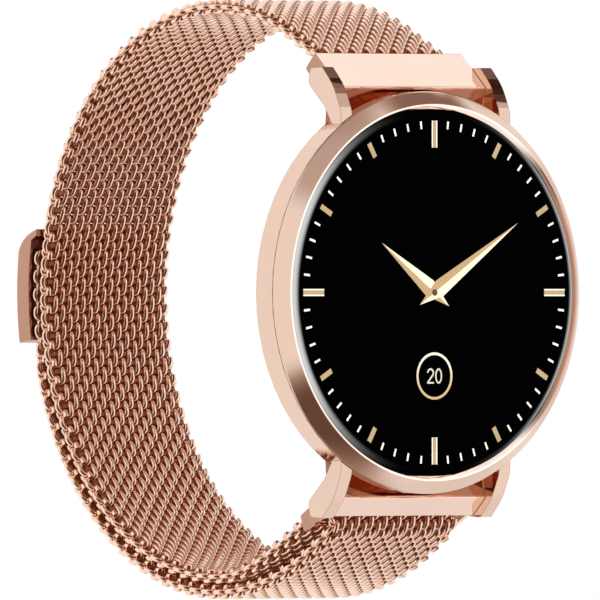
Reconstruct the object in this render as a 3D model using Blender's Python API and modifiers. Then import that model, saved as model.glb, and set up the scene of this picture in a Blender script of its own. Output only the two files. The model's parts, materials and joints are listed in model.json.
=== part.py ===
"""Round smartwatch on a closed Milanese mesh strap with a magnetic clasp.

Frame: +Z points to 12 o'clock, +X to 3 o'clock and -Y out of the dial, towards the reader.
The origin is the centre of the sensor window's flat rear face, which lies on the wrist.
Lengths are millimetres in this file and become metres where a mesh is made.
Outlines in the side view are (depth, height): depth runs back from the bezel's front lip.
"""

import math

import bmesh
import bpy
from mathutils import Matrix, Vector

MM = 0.001

# ---- driving dimensions (mm) ----
THICKNESS = 8.6            # bezel lip to sensor window face
CASE_RADIUS = 21.0
LIP_RADIUS = 19.6
GLASS_RADIUS = 19.15
GAP = 0.3                  # clearance between neighbouring pieces
SMALL_GAP = 0.15           # clearance round pins and between pieces nested in a thin part
TURN_STEPS = 64            # facets round the case
SMALL_STEPS = 20           # facets round pins, screws and holes

LUG_INNER_X = 10.1
LUG_THICKNESS = 1.5
BUTTON_DEPTH = 3.8         # push button's middle
BAR_DEPTH = 5.01           # spring bar axis
BAR_HEIGHT = 21.35
TUBE_RADIUS = 0.55
PIN_RADIUS = 0.28

LINK_HALF_WIDTH = 10.0
LINK_ANGLE = math.radians(43)       # the link plates lean back from the dial plane's normal
LINK_CORNER = (3.6, 21.4)           # front lower edge of the top link's plate
LINK_LENGTH = 5.3
LINK_THICKNESS = 2.28
LINK_HEEL_RADIUS = 0.3              # of the edge that swings between the lugs
LINK_HEEL = [(3.76, 21.35), (4.6, 16.9), (5.9, 16.9), (5.6, 20.6)]   # closes the link to the case
SEAT_RADIUS = 19.5                  # of the case's seat for the links
SEAT_GAP = 0.34

LOOP_CENTRE = (25.5, 0.09)  # centre line of the strap: an ellipse
LOOP_DEPTH_RADIUS = 28.3
LOOP_HEIGHT_RADIUS = 29.86
LAYER_OFFSET = 1.6         # the tail layer lies this far outside the main layer
MESH_HALF = 0.66           # half the thickness of the woven mesh
MESH_HALF_WIDTH = 8.75
HINGE_GAP = 0.44           # space between two flexing lengths of strap
UPPER_LEAD_ANGLE = 118.0   # past this angle the strap runs straight to the top link
LOWER_LEAD_ANGLE = 93.0    # past this angle it bends towards the bottom bracket
BREAK_ANGLE = 2.0          # upper and lower strap meet here, under the clasp
UPPER_HINGES = (84.0, 52.0, 20.0)
TAIL_START = -118.0
TAIL_HINGES = (-92.0, -66.0, -40.0, -16.0)
TAIL_END = 8.2

CLASP_LOW = -9.3           # lower end of the clasp cover, as an angle on the strap's ellipse
CLASP_HALF_WIDTH = 9.0
CLASP_INNER = 1.68         # clasp cover's inner and outer face, outside the main centre line
CLASP_OUTER = 3.55
# (angle, offset) where the cover's upper end curls in to the strap
CLASP_CURL = ((7.4, 3.55), (8.5, 3.32), (9.6, 2.93), (10.6, 2.4), (11.5, 1.75), (12.4, 0.98))

ROSE_GOLD = (0.83, 0.57, 0.47, 1.0)
PALE_ROSE = (0.90, 0.68, 0.58, 1.0)


# ---- scene ----
for old in list(bpy.data.objects):
    bpy.data.objects.remove(old, do_unlink=True)

watch = bpy.data.collections.new("smartwatch")
cutters = bpy.data.collections.new("cutters")
bpy.context.scene.collection.children.link(watch)
bpy.context.scene.collection.children.link(cutters)


def material(name, colour, metallic, roughness):
    mat = bpy.data.materials.new(name)
    mat.use_nodes = True
    shader = mat.node_tree.nodes["Principled BSDF"]
    shader.inputs["Base Color"].default_value = colour
    shader.inputs["Metallic"].default_value = metallic
    shader.inputs["Roughness"].default_value = roughness
    return mat


def place(name, mesh, collection):
    obj = bpy.data.objects.new(name, mesh)
    collection.objects.link(obj)
    return obj


def finish(obj, look):
    """Give a piece its own material and smooth its round faces."""
    obj.data.materials.clear()
    obj.data.materials.append(material(obj.name, *look))
    if obj.type == "MESH":
        obj.data.shade_smooth()
        obj.data.set_sharp_from_angle(angle=math.radians(35))
    return obj


POLISHED = (ROSE_GOLD, 1.0, 0.12)
PALE = (PALE_ROSE, 1.0, 0.1)
BRUSHED = (ROSE_GOLD, 1.0, 0.32)
MESH = (ROSE_GOLD, 1.0, 0.28)
STEEL = ((0.72, 0.72, 0.74, 1.0), 1.0, 0.2)
RUBBER = ((0.03, 0.03, 0.03, 1.0), 0.0, 0.7)
BLACK_PLASTIC = ((0.04, 0.04, 0.045, 1.0), 0.0, 0.45)
BOARD = ((0.02, 0.16, 0.09, 1.0), 0.0, 0.5)
CELL = ((0.62, 0.64, 0.66, 1.0), 0.6, 0.35)
AMBER = ((0.55, 0.3, 0.06, 1.0), 0.0, 0.4)
GOLD = ((0.9, 0.7, 0.3, 1.0), 1.0, 0.2)
BLACK_GLASS = ((0.005, 0.005, 0.006, 1.0), 0.0, 0.05)
GREEN_LENS = ((0.2, 0.75, 0.3, 1.0), 0.0, 0.2)
SILICON = ((0.05, 0.05, 0.09, 1.0), 0.0, 0.15)


# ---- shapes ----
def row_y(depth):
    """Y of a depth behind the bezel's lip."""
    return depth - THICKNESS


def scaled(obj):
    """Turn a mesh drawn in millimetres into metres."""
    obj.data.transform(Matrix.Scale(MM, 4))
    return obj


def box(name, size, centre, collection=watch):
    """A block; size and centre are (x, depth, z)."""
    mesh = bpy.data.meshes.new(name)
    bm = bmesh.new()
    bmesh.ops.create_cube(bm, size=1.0)
    bmesh.ops.scale(bm, vec=Vector(size), verts=bm.verts)
    bmesh.ops.translate(bm, vec=Vector((centre[0], row_y(centre[1]), centre[2])), verts=bm.verts)
    bm.to_mesh(mesh)
    bm.free()
    return scaled(place(name, mesh, collection))


AXIS_TURNS = {
    "x": Matrix.Rotation(math.radians(90), 4, "Y"),
    "y": Matrix.Rotation(math.radians(90), 4, "X"),
}


def rod(name, axis, radius, low, high, centre, collection=watch, steps=SMALL_STEPS):
    """A cylinder along x or depth, from low to high; centre is its place in the other two axes."""
    mesh = bpy.data.meshes.new(name)
    bm = bmesh.new()
    bmesh.ops.create_cone(bm, cap_ends=True, segments=steps, radius1=radius, radius2=radius,
                          depth=high - low)
    middle = (low + high) / 2
    if axis == "x":
        spot = Vector((middle, row_y(centre[0]), centre[1]))
    else:
        spot = Vector((centre[0], row_y(middle), centre[1]))
    bmesh.ops.transform(bm, matrix=Matrix.Translation(spot) @ AXIS_TURNS[axis], verts=bm.verts)
    bm.to_mesh(mesh)
    bm.free()
    return scaled(place(name, mesh, collection))


def turned(name, profile, closed, centre=(0.0, 0.0), steps=TURN_STEPS, collection=watch):
    """Turn (radius, depth) points about an axis along Y through centre = (x, z).

    The profile runs down its outer side from front to back; a closed one makes a ring.
    """
    mesh = bpy.data.meshes.new(name)
    verts = [(radius * MM, 0.0, -row_y(depth) * MM) for radius, depth in profile]
    edges = [(i, i + 1) for i in range(len(verts) - 1)]
    if closed:
        edges.append((len(verts) - 1, 0))
    mesh.from_pydata(verts, edges, [])
    obj = place(name, mesh, collection)
    obj.rotation_euler = (math.radians(90), 0.0, 0.0)
    obj.location = (centre[0] * MM, 0.0, centre[1] * MM)
    screw = obj.modifiers.new("turn", "SCREW")
    screw.steps = steps
    screw.render_steps = steps
    screw.use_merge_vertices = True
    screw.merge_threshold = 0.00001
    return obj


def extruded(name, outline, x_low, x_high, collection=watch):
    """Extrude a (depth, height) outline along X."""
    curve = bpy.data.curves.new(name, "CURVE")
    curve.dimensions = "2D"
    curve.fill_mode = "BOTH"
    curve.extrude = (x_high - x_low) / 2 * MM
    spline = curve.splines.new("POLY")
    spline.points.add(len(outline) - 1)
    for point, (depth, height) in zip(spline.points, outline):
        point.co = (row_y(depth) * MM, height * MM, 0.0, 1.0)
    spline.use_cyclic_u = True
    guide = place(name + "_outline", curve, collection)
    side_view = Matrix(((0, 0, 1, 0), (1, 0, 0, 0), (0, 1, 0, 0), (0, 0, 0, 1)))
    guide.matrix_world = Matrix.Translation(((x_low + x_high) / 2 * MM, 0, 0)) @ side_view
    bpy.context.view_layer.update()
    graph = bpy.context.evaluated_depsgraph_get()
    mesh = bpy.data.meshes.new_from_object(guide.evaluated_get(graph))
    mesh.transform(guide.matrix_world)
    bpy.data.objects.remove(guide, do_unlink=True)
    bm = bmesh.new()
    bm.from_mesh(mesh)
    bmesh.ops.remove_doubles(bm, verts=bm.verts, dist=0.000001)
    bmesh.ops.recalc_face_normals(bm, faces=bm.faces)
    bm.to_mesh(mesh)
    bm.free()
    return place(name, mesh, collection)


def wire(name, points, radius):
    """A round wire through (x, depth, z) points."""
    curve = bpy.data.curves.new(name, "CURVE")
    curve.dimensions = "3D"
    curve.bevel_depth = radius * MM
    curve.bevel_resolution = 2
    curve.use_fill_caps = True
    spline = curve.splines.new("POLY")
    spline.points.add(len(points) - 1)
    for point, (x, depth, z) in zip(spline.points, points):
        point.co = (x * MM, row_y(depth) * MM, z * MM, 1.0)
    return place(name, curve, watch)


def boolean(obj, cutter, operation="DIFFERENCE"):
    cutter.hide_render = True
    cutter.display_type = "WIRE"
    mod = obj.modifiers.new(operation.lower(), "BOOLEAN")
    mod.operation = operation
    mod.object = cutter
    return obj


def bevel(obj, width, segments=2, angle=50.0):
    mod = obj.modifiers.new("edge", "BEVEL")
    mod.width = width * MM
    mod.segments = segments
    mod.limit_method = "ANGLE"
    mod.angle_limit = math.radians(angle)
    return obj


def rounded(points, radii, steps=4):
    """Round the corners of a closed outline; a radius of 0 keeps the corner sharp."""
    result = []
    count = len(points)
    for i, radius in enumerate(radii):
        here = Vector(points[i])
        if radius == 0:
            result.append(tuple(here))
            continue
        to_before = (Vector(points[i - 1]) - here).normalized()
        to_after = (Vector(points[(i + 1) % count]) - here).normalized()
        half = to_before.angle(to_after) / 2
        start = here + to_before * radius / math.tan(half)
        end = here + to_after * radius / math.tan(half)
        centre = here + (to_before + to_after).normalized() * radius / math.sin(half)
        for step in range(steps + 1):
            along = start.lerp(end, step / steps) - centre
            result.append(tuple(centre + along.normalized() * radius))
    return result


def mirrored(outline):
    """The same outline on the 6 o'clock side."""
    return [(depth, -height) for depth, height in reversed(outline)]


# ---- joint axes ----
def axis_empty(name, x, depth, z, parent=None):
    empty = bpy.data.objects.new(name, None)
    empty.empty_display_size = 2 * MM
    watch.objects.link(empty)
    empty.matrix_world = Matrix.Translation((x * MM, row_y(depth) * MM, z * MM))
    if parent:
        hang(empty, parent)
    return empty


def hang(obj, empty):
    bpy.context.view_layer.update()
    obj.parent = empty
    obj.matrix_parent_inverse = empty.matrix_world.inverted()


# ---- strap centre lines ----
def on_ellipse(angle, offset=0.0):
    """A point outside the main centre line by offset; angle 0 is the far end of the loop."""
    t = math.radians(angle)
    depth = LOOP_CENTRE[0] + (LOOP_DEPTH_RADIUS + offset) * math.cos(t)
    height = LOOP_CENTRE[1] + (LOOP_HEIGHT_RADIUS + offset) * math.sin(t)
    return Vector((depth, height))


def ellipse_line(start, end, offset=0.0, step=4.5):
    count = max(2, math.ceil(abs(end - start) / step))
    return [on_ellipse(start + (end - start) * i / count, offset) for i in range(count + 1)]


def bezier(p0, p1, p2, p3, count):
    points = []
    for i in range(count + 1):
        t = i / count
        s = 1 - t
        points.append(p0 * s**3 + p1 * 3 * s * s * t + p2 * 3 * s * t * t + p3 * t**3)
    return points


def trimmed(line, start=0.0, end=0.0):
    """Shorten a line at its ends by moving its end points along it."""
    line = [point.copy() for point in line]
    line[0] += (line[1] - line[0]).normalized() * start
    line[-1] += (line[-2] - line[-1]).normalized() * end
    return line


def band(name, line, half=MESH_HALF, half_width=MESH_HALF_WIDTH):
    """A flat strap of even thickness about a centre line."""
    left = []
    right = []
    for i, point in enumerate(line):
        along = (line[min(i + 1, len(line) - 1)] - line[max(i - 1, 0)]).normalized()
        normal = Vector((-along.y, along.x))
        left.append(tuple(point + normal * half))
        right.append(tuple(point - normal * half))
    return extruded(name, left + right[::-1], -half_width, half_width)


PLATE_ALONG = Vector((math.cos(LINK_ANGLE), math.sin(LINK_ANGLE)))
PLATE_IN = Vector((math.sin(LINK_ANGLE), -math.cos(LINK_ANGLE)))


def on_plate(along, inward):
    """A point of the top link, from its front lower edge along and into its plate."""
    return tuple(Vector(LINK_CORNER) + PLATE_ALONG * along + PLATE_IN * inward)


# ---- case ----
def lug(side, end):
    """One of the four lugs: side is -1 or 1 in X, end is 1 at 12 o'clock and -1 at 6."""
    outline = rounded(
        [(1.45, 16.9), (1.45, 18.9), (2.7, 21.6), (4.5, 23.5), (6.4, 23.4), (6.7, 21.8),
         (4.15, 19.45), (2.95, 17.6), (2.95, 16.9)],
        [0, 2.0, 6.0, 0.4, 0.4, 0.8, 3.0, 0, 0], steps=3)
    if end < 0:
        outline = mirrored(outline)
    near = side * LUG_INNER_X
    far = side * (LUG_INNER_X + LUG_THICKNESS)
    return extruded(f"lug_{side}_{end}", outline, min(near, far), max(near, far), cutters)


BOSS_SPOTS = [(x, z) for x in (-13.7, 13.7) for z in (-7.9, 7.9)]


def build_mid_case():
    wall = 17.2
    profile = [(CASE_RADIUS, 1.4), (CASE_RADIUS, 4.0), (20.0, 5.2), (19.1, 6.3), (18.7, 6.75),
               (18.4, 6.75), (18.4, 6.0), (wall, 6.0), (wall, 2.0), (19.4, 2.0), (19.4, 1.4)]
    case = turned("mid_case", profile, closed=True)
    for side in (-1, 1):
        for end in (-1, 1):
            boolean(case, lug(side, end), "UNION")
    for end in (-1, 1):
        recess = box(f"link_recess_{end}", (2 * LUG_INNER_X, 5.4, 9.0), (0, 5.3, end * 19.6), cutters)
        boolean(recess, rod(f"link_seat_{end}", "y", SEAT_RADIUS, 0.0, 10.0, (0, 0), cutters, TURN_STEPS))
        boolean(case, recess)
        for side in (-1, 1):
            ends = sorted((side * (LUG_INNER_X - 1), side * (LUG_INNER_X + 1.0)))
            hole = rod(f"bar_hole_{end}_{side}", "x", PIN_RADIUS + SMALL_GAP, *ends,
                       (BAR_DEPTH, end * BAR_HEIGHT), cutters)
            boolean(case, hole)
    for i, (x, z) in enumerate(BOSS_SPOTS):
        boss = rod(f"boss_{i}", "y", 1.6, 4.0, 6.0, (x * 1.01, z * 1.01), cutters)
        boolean(case, boss, "UNION")
    for i, (x, z) in enumerate(BOSS_SPOTS):
        boolean(case, rod(f"screw_hole_{i}", "y", 0.85, 3.0, 7.0, (x, z), cutters))
    boolean(case, box("button_pocket", (2.0, 2.2, 7.8), (21.4, BUTTON_DEPTH, 0), cutters))
    boolean(case, rod("seal_seat", "x", 1.05, 19.0, 21.0, (BUTTON_DEPTH, 0), cutters))
    boolean(case, rod("stem_hole", "x", 0.8, 16.5, 20.0, (BUTTON_DEPTH, 0), cutters))
    return finish(case, POLISHED)


def build_bezel():
    inner = GLASS_RADIUS + GAP
    profile = [(LIP_RADIUS, 0.0), (CASE_RADIUS, 1.1), (inner, 1.1), (inner, 0.0)]
    return finish(turned("bezel", profile, closed=True), POLISHED)


def build_glass():
    profile = [(0, 0.05), (GLASS_RADIUS - 0.5, 0.05), (GLASS_RADIUS - 0.1, 0.2),
               (GLASS_RADIUS, 0.5), (GLASS_RADIUS, 1.05), (0, 1.05)]
    return finish(turned("cover_glass", profile, closed=False), BLACK_GLASS)


def ring(name, inner, outer, front, back, look, steps=TURN_STEPS):
    profile = [(outer, front), (outer, back), (inner, back), (inner, front)]
    return finish(turned(name, profile, closed=True, steps=steps), look)


def disc(name, radius, front, back, look, centre=(0, 0), steps=TURN_STEPS):
    profile = [(0, front), (radius, front), (radius, back), (0, back)]
    return finish(turned(name, profile, closed=False, centre=centre, steps=steps), look)


# ---- inside the case ----
BATTERY_SIZE = (20.0, 2.0, 15.0)
BATTERY_CENTRE = (0.0, 4.35, 2.5)
MOTOR_SPOT = (0.0, -11.5)
LED_SPOTS = {"green_led_left": -2.4, "green_led_right": 2.4}


def build_inner_frame():
    """A round carrier plate with a rectangular wall round the battery."""
    frame = turned("inner_frame", [(0, 2.55), (16.6, 2.55), (16.6, 3.05), (0, 3.05)], closed=False)
    wall = 1.0
    outer = (BATTERY_SIZE[0] + 2 * GAP + 2 * wall, 2.2, BATTERY_SIZE[2] + 2 * GAP + 2 * wall)
    inner = (outer[0] - 2 * wall, 3.0, outer[2] - 2 * wall)
    wall_block = box("battery_wall", outer, (0, 4.0, BATTERY_CENTRE[2]), cutters)
    wall_core = box("battery_room", inner, (0, 4.55, BATTERY_CENTRE[2]), cutters)
    boolean(frame, wall_block, "UNION")
    boolean(frame, wall_core)
    boolean(frame, box("flex_slot", (8.0, 2.0, 1.2), (0, 2.8, 14.4), cutters))
    return finish(frame, BLACK_PLASTIC)


def build_display_flex():
    """The display's ribbon: through the frame's slot and over the board's rear."""
    thick = 0.15
    outline = rounded([(2.55, 14.3), (6.7, 14.3), (6.7, 11.6), (6.7 - thick, 11.6),
                       (6.7 - thick, 14.3 - thick), (2.55, 14.3 - thick)],
                      [0, 0.45, 0, 0, 0.3, 0])
    return finish(extruded("display_flex", outline, -3.0, 3.0), AMBER)


def build_motor():
    """A coin vibration motor: a cup, an off-centre weight that spins on its shaft, and a cap."""
    x, z = MOTOR_SPOT
    cup = turned("motor_housing", [(0, 3.35), (3.8, 3.35), (3.8, 5.2), (3.5, 5.2), (3.5, 3.65),
                                   (0.3, 3.65), (0.3, 5.05), (0, 5.05)],
                 closed=False, centre=MOTOR_SPOT, steps=32)
    finish(cup, STEEL)
    weight = disc("motor_rotor", 3.2, 3.95, 4.9, STEEL, MOTOR_SPOT, steps=32)
    boolean(weight, box("rotor_half", (8.0, 3.0, 4.0), (x, 4.4, z - 2.4), cutters))
    boolean(weight, rod("rotor_bore", "y", 0.5, 3.0, 6.0, (x, z), cutters))
    finish(turned("motor_cap", [(3.8, 5.35), (3.8, 5.55), (0.45, 5.55), (0.45, 5.35)],
                  closed=True, centre=MOTOR_SPOT, steps=32), STEEL)
    return weight


def build_insides():
    ring("front_gasket", 17.3, 19.1, 1.35, 1.7, RUBBER)
    disc("display_panel", 16.8, 1.35, 2.25, BLACK_GLASS)
    build_inner_frame()
    finish(bevel(box("battery", BATTERY_SIZE, BATTERY_CENTRE), 0.3), CELL)
    build_display_flex()
    board = turned("main_board", [(0, 5.7), (13.4, 5.7), (13.4, 6.2), (0, 6.2)], closed=False)
    boolean(board, box("motor_notch", (8.6, 2.0, 8.0), (0, 6.0, -12.4), cutters))
    finish(board, BOARD)
    finish(box("tact_switch", (1.5, 1.2, 3.0), (15.55, BUTTON_DEPTH, 0)), BLACK_PLASTIC)
    disc("sensor_board", 5.4, 6.5, 6.8, BOARD, steps=40)
    for name, x in LED_SPOTS.items():
        finish(box(name, (1.4, 0.4, 1.4), (x, 7.3, 0)), GREEN_LENS)
    finish(box("photodiode", (2.0, 0.4, 2.0), (0, 7.3, 0)), SILICON)


# ---- back of the case ----
PIN_SPOTS = {"charging_pin_left": -2.6, "charging_pin_right": 2.6}
PIN_HEIGHT = -10.5


def build_back():
    ring("back_gasket", 17.5, 18.1, 6.3, 6.6, RUBBER)
    cover = turned("back_cover", [(18.1, 6.9), (18.1, 7.3), (17.4, 8.0), (6.3, 8.0), (6.3, 6.9)],
                   closed=True)
    for i, (x, z) in enumerate(BOSS_SPOTS):
        boolean(cover, rod(f"cover_hole_{i}", "y", 0.85, 6.0, 9.0, (x, z), cutters))
        boolean(cover, rod(f"head_seat_{i}", "y", 1.35, 7.2, 9.0, (x, z), cutters))
    for i, x in enumerate(PIN_SPOTS.values()):
        boolean(cover, rod(f"pin_hole_{i}", "y", 1.1, 6.0, 9.0, (x, PIN_HEIGHT), cutters))
    finish(cover, BRUSHED)
    for name, x in PIN_SPOTS.items():
        finish(rod(name, "y", 0.8, 6.5, 8.1, (x, PIN_HEIGHT)), GOLD)
    window = turned("sensor_window", [(0, 7.75), (4.9, 7.75), (4.9, 7.05), (6.0, 7.05),
                                      (6.0, 8.2), (5.5, THICKNESS), (0, THICKNESS)],
                    closed=False, steps=48)
    finish(window, BLACK_GLASS)
    for i, (x, z) in enumerate(BOSS_SPOTS):
        screw = rod(f"back_screw_{i + 1}", "y", 1.05, 7.4, 7.95, (x, z))
        boolean(screw, rod(f"shank_{i}", "y", 0.55, 4.3, 7.6, (x, z), cutters), "UNION")
        boolean(screw, box(f"slot_a_{i}", (1.2, 0.5, 0.3), (x, 8.0, z), cutters))
        boolean(screw, box(f"slot_b_{i}", (0.3, 0.5, 1.2), (x, 8.0, z), cutters))
        finish(screw, STEEL)


# ---- button ----
def build_button():
    """A push button at 3 o'clock: a long cap in a pocket, on a round stem through the wall."""
    outline = rounded([(-0.8, -3.4), (0.8, -3.4), (0.8, 3.4), (-0.8, 3.4)], [0.75] * 4, steps=5)
    outline = [(BUTTON_DEPTH + depth, height) for depth, height in outline]
    cap = extruded("side_button", outline, 20.95, 22.2)
    boolean(cap, rod("stem", "x", 0.5, 16.75, 21.2, (BUTTON_DEPTH, 0), cutters), "UNION")
    finish(cap, POLISHED)
    hang(cap, axis_empty("button_axis", 21.0, BUTTON_DEPTH, 0))
    seal = rod("button_seal", "x", 0.95, 19.2, 19.9, (BUTTON_DEPTH, 0))
    boolean(seal, rod("seal_bore", "x", 0.62, 19.0, 21.0, (BUTTON_DEPTH, 0), cutters))
    finish(seal, RUBBER)


# ---- spring bars ----
def coil(low, high, radius, turns, centre):
    per_turn = 6
    count = turns * per_turn
    points = []
    for i in range(count + 1):
        angle = 2 * math.pi * i / per_turn
        x = low + (high - low) * i / count
        points.append((x, centre[0] + radius * math.cos(angle), centre[1] + radius * math.sin(angle)))
    return points


def build_spring_bar(word, end):
    """A tube with a spring and two pins that slide into it; the pins' tips sit in the lugs."""
    centre = (BAR_DEPTH, end * BAR_HEIGHT)
    tube = rod(f"{word}_bar_tube", "x", TUBE_RADIUS, -9.2, 9.2, centre)
    boolean(tube, rod(f"{word}_tube_bore", "x", PIN_RADIUS + 0.13, -10, 10, centre, cutters))
    finish(tube, STEEL)
    finish(wire(f"{word}_bar_spring", coil(-4.6, 4.6, 0.26, 7, centre), 0.06), STEEL)
    for side, name in ((-1, "left"), (1, "right")):
        ends = sorted((side * 6.0, side * 10.9))
        pin = finish(rod(f"{word}_pin_{name}", "x", PIN_RADIUS, *ends, centre), STEEL)
        hang(pin, axis_empty(f"{word}_{name}_pin_axis", side * 8.0, *centre))


# ---- links ----
def add_heel(link, word, end):
    """A heel across the link's inner edge, hollowed to follow the round case."""
    outline = LINK_HEEL if end > 0 else mirrored(LINK_HEEL)
    heel = extruded(f"{word}_heel", outline, -LINK_HALF_WIDTH, LINK_HALF_WIDTH, cutters)
    boolean(link, heel, "UNION")
    hollow = rod(f"{word}_hollow", "y", SEAT_RADIUS + SEAT_GAP, 0.0, 10.0, (0, 0), cutters, TURN_STEPS)
    boolean(link, hollow)


def bore_link(link, word, end):
    bore = rod(f"{word}_bore", "x", TUBE_RADIUS + 0.2, -11, 11, (BAR_DEPTH, end * BAR_HEIGHT), cutters)
    boolean(link, bore)
    return finish(link, PALE)


def build_top_link():
    """The plate between the upper lugs, with the strap's end held in its rear edge."""
    outline = rounded([on_plate(0, 0), on_plate(LINK_LENGTH, 0),
                       on_plate(LINK_LENGTH, LINK_THICKNESS), on_plate(0, LINK_THICKNESS)],
                      [0.15, 0.12, 0.3, LINK_HEEL_RADIUS])
    link = extruded("top_end_link", outline, -LINK_HALF_WIDTH, LINK_HALF_WIDTH)
    add_heel(link, "top", 1)
    return bore_link(link, "top", 1)


FOLD_BAR = (8.15, 23.85)   # (depth, distance below the centre) of the bar the strap folds round
FOLD_BAR_RADIUS = 0.4
FOLD_RADIUS = 1.4          # of the strap's centre line round that bar
BRACKET_LIP = 2.79         # length of the bracket's front plate


def build_bottom_link():
    """A frame between the lower lugs: front plate, two cheeks and the bar the strap folds round."""
    cheek = rounded([on_plate(0, 0), on_plate(BRACKET_LIP, 0), (6.1, 23.32), (9.27, 25.05),
                     (9.89, 23.28), (8.37, 22.36), (6.75, 21.35), on_plate(0, LINK_THICKNESS)],
                    [0.15, 0.1, 0, 0.3, 0.3, 0, 0, LINK_HEEL_RADIUS])
    link = extruded("bottom_bracket", mirrored(cheek), -LINK_HALF_WIDTH, LINK_HALF_WIDTH)
    opening = [on_plate(BRACKET_LIP, -0.5), on_plate(9.0, -0.5), on_plate(9.0, 4.0),
               on_plate(2.1, 4.0), on_plate(2.1, 0.6), on_plate(BRACKET_LIP, 0.6)]
    boolean(link, extruded("strap_slot", mirrored(opening), -9.45, 9.45, cutters))
    bar = rod("fold_bar", "x", FOLD_BAR_RADIUS, -9.7, 9.7, (FOLD_BAR[0], -FOLD_BAR[1]), cutters)
    boolean(link, bar, "UNION")
    add_heel(link, "bottom", -1)
    return bore_link(link, "bottom", -1)


# ---- strap ----
def upper_lead():
    """From the top link's end face to the ellipse."""
    start = Vector(on_plate(LINK_LENGTH, LINK_THICKNESS / 2))
    end = on_ellipse(UPPER_LEAD_ANGLE)
    return bezier(start, start + Vector((1.3, 0.75)), end + Vector((-1.3, -0.73)), end, 3)


def lower_lead():
    """From the ellipse to the bottom bracket."""
    start = on_ellipse(-LOWER_LEAD_ANGLE)
    end = round_the_bar(60)
    return bezier(start, start + Vector((-4.6, 0.25)), end + Vector((4.35, -2.51)), end, 7)


def round_the_bar(angle):
    t = math.radians(angle)
    return Vector((FOLD_BAR[0] + FOLD_RADIUS * math.cos(t), -FOLD_BAR[1] + FOLD_RADIUS * math.sin(t)))


def fold_line():
    """Half a turn round the bar, then out to the tail layer."""
    turn = [round_the_bar(60 + 18 * i) for i in range(11)]
    tail = on_ellipse(TAIL_START, LAYER_OFFSET)
    run = bezier(turn[-1], turn[-1] + Vector((1.3, -0.75)), tail + Vector((-1.3, 0.73)), tail, 4)
    return turn + run[1:]


def build_upper_strap(hinges):
    """The strap from the top link to the far end, in lengths that flex at three hinges."""
    half_gap = HINGE_GAP / 2
    angles = (*UPPER_HINGES, BREAK_ANGLE)
    first = upper_lead() + ellipse_line(UPPER_LEAD_ANGLE, angles[0])[1:]
    pieces = [band("strap_upper_1", trimmed(first, GAP, half_gap))]
    for i in range(3):
        line = trimmed(ellipse_line(angles[i], angles[i + 1]), half_gap, half_gap)
        pieces.append(band(f"strap_upper_{i + 2}", line))
    for piece, hinge in zip(pieces, hinges):
        hang(finish(piece, MESH), hinge)


def build_lower_strap(hinge):
    """The doubled half: the main layer, and the fold round the bracket's bar."""
    main = ellipse_line(BREAK_ANGLE, -LOWER_LEAD_ANGLE) + lower_lead()[1:]
    pieces = [band("strap_lower", trimmed(main, HINGE_GAP / 2, 0.2))]
    fold = fold_line() + ellipse_line(TAIL_START, TAIL_HINGES[0], LAYER_OFFSET)[1:]
    pieces.append(band("strap_fold", trimmed(fold, 0.2, HINGE_GAP / 2)))
    for piece in pieces:
        hang(finish(piece, MESH), hinge)


def build_tail(hinges):
    """The outer layer, in lengths that peel away; its crimped end sits under the clasp."""
    half_gap = HINGE_GAP / 2
    for i in range(3):
        line = ellipse_line(TAIL_HINGES[i], TAIL_HINGES[i + 1], LAYER_OFFSET)
        piece = band(f"strap_tail_{i + 1}", trimmed(line, half_gap, half_gap))
        hang(finish(piece, MESH), hinges[i])
    thin = 0.26
    line = ellipse_line(TAIL_HINGES[3], TAIL_END, MESH_HALF + 0.25 + thin)
    crimped = band("strap_tail_end", trimmed(line, half_gap), thin)
    hang(finish(crimped, MESH), hinges[3])


# ---- clasp ----
def clasp_layer(inner, outer, low, high):
    """An outline between two offsets from the main centre line, from angle low to high."""
    return ellipse_line(low, high, outer, 3.0) + ellipse_line(high, low, inner, 3.0)


MAGNET_SPANS = ((-7.6, -0.5), (0.3, 7.2))


def build_clasp(hinge):
    """A curved cover whose upper end curls in to the strap; two magnets lie behind a plate."""
    outer_line = ellipse_line(CLASP_LOW, CLASP_CURL[0][0], CLASP_OUTER, 3.0)[:-1]
    curl = [on_ellipse(angle, offset) for angle, offset in CLASP_CURL]
    foot = on_ellipse(11.0, CLASP_CURL[-1][1])
    inner_line = ellipse_line(9.9, CLASP_LOW, CLASP_INNER, 3.0)
    outline = [tuple(p) for p in outer_line + curl + [foot] + inner_line]
    cover = extruded("clasp_cover", outline, -CLASP_HALF_WIDTH, CLASP_HALF_WIDTH)
    pocket = clasp_layer(CLASP_INNER - 0.5, CLASP_INNER + 1.15, -8.5, 8.2)
    boolean(cover, extruded("clasp_pocket", pocket, -8.55, 8.55, cutters))
    pieces = [finish(bevel(cover, 0.12, 1, 60), BRUSHED)]
    for i, (low, high) in enumerate(MAGNET_SPANS):
        layer = clasp_layer(CLASP_INNER + 0.45, CLASP_INNER + 1.0, low, high)
        magnet = extruded(f"clasp_magnet_{i + 1}", layer, -8.1, 8.1)
        pieces.append(finish(magnet, STEEL))
    plate = clasp_layer(CLASP_INNER, CLASP_INNER + 0.3, -8.2, 7.9)
    pieces.append(finish(extruded("clasp_plate", plate, -8.35, 8.35), BRUSHED))
    for piece in pieces:
        hang(piece, hinge)


# ---- assembly ----
build_bezel()
build_glass()
build_mid_case()
build_insides()
rotor = build_motor()
hang(rotor, axis_empty("motor_axis", MOTOR_SPOT[0], 4.4, MOTOR_SPOT[1]))
build_back()
build_button()
build_spring_bar("top", 1)
build_spring_bar("bottom", -1)

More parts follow.
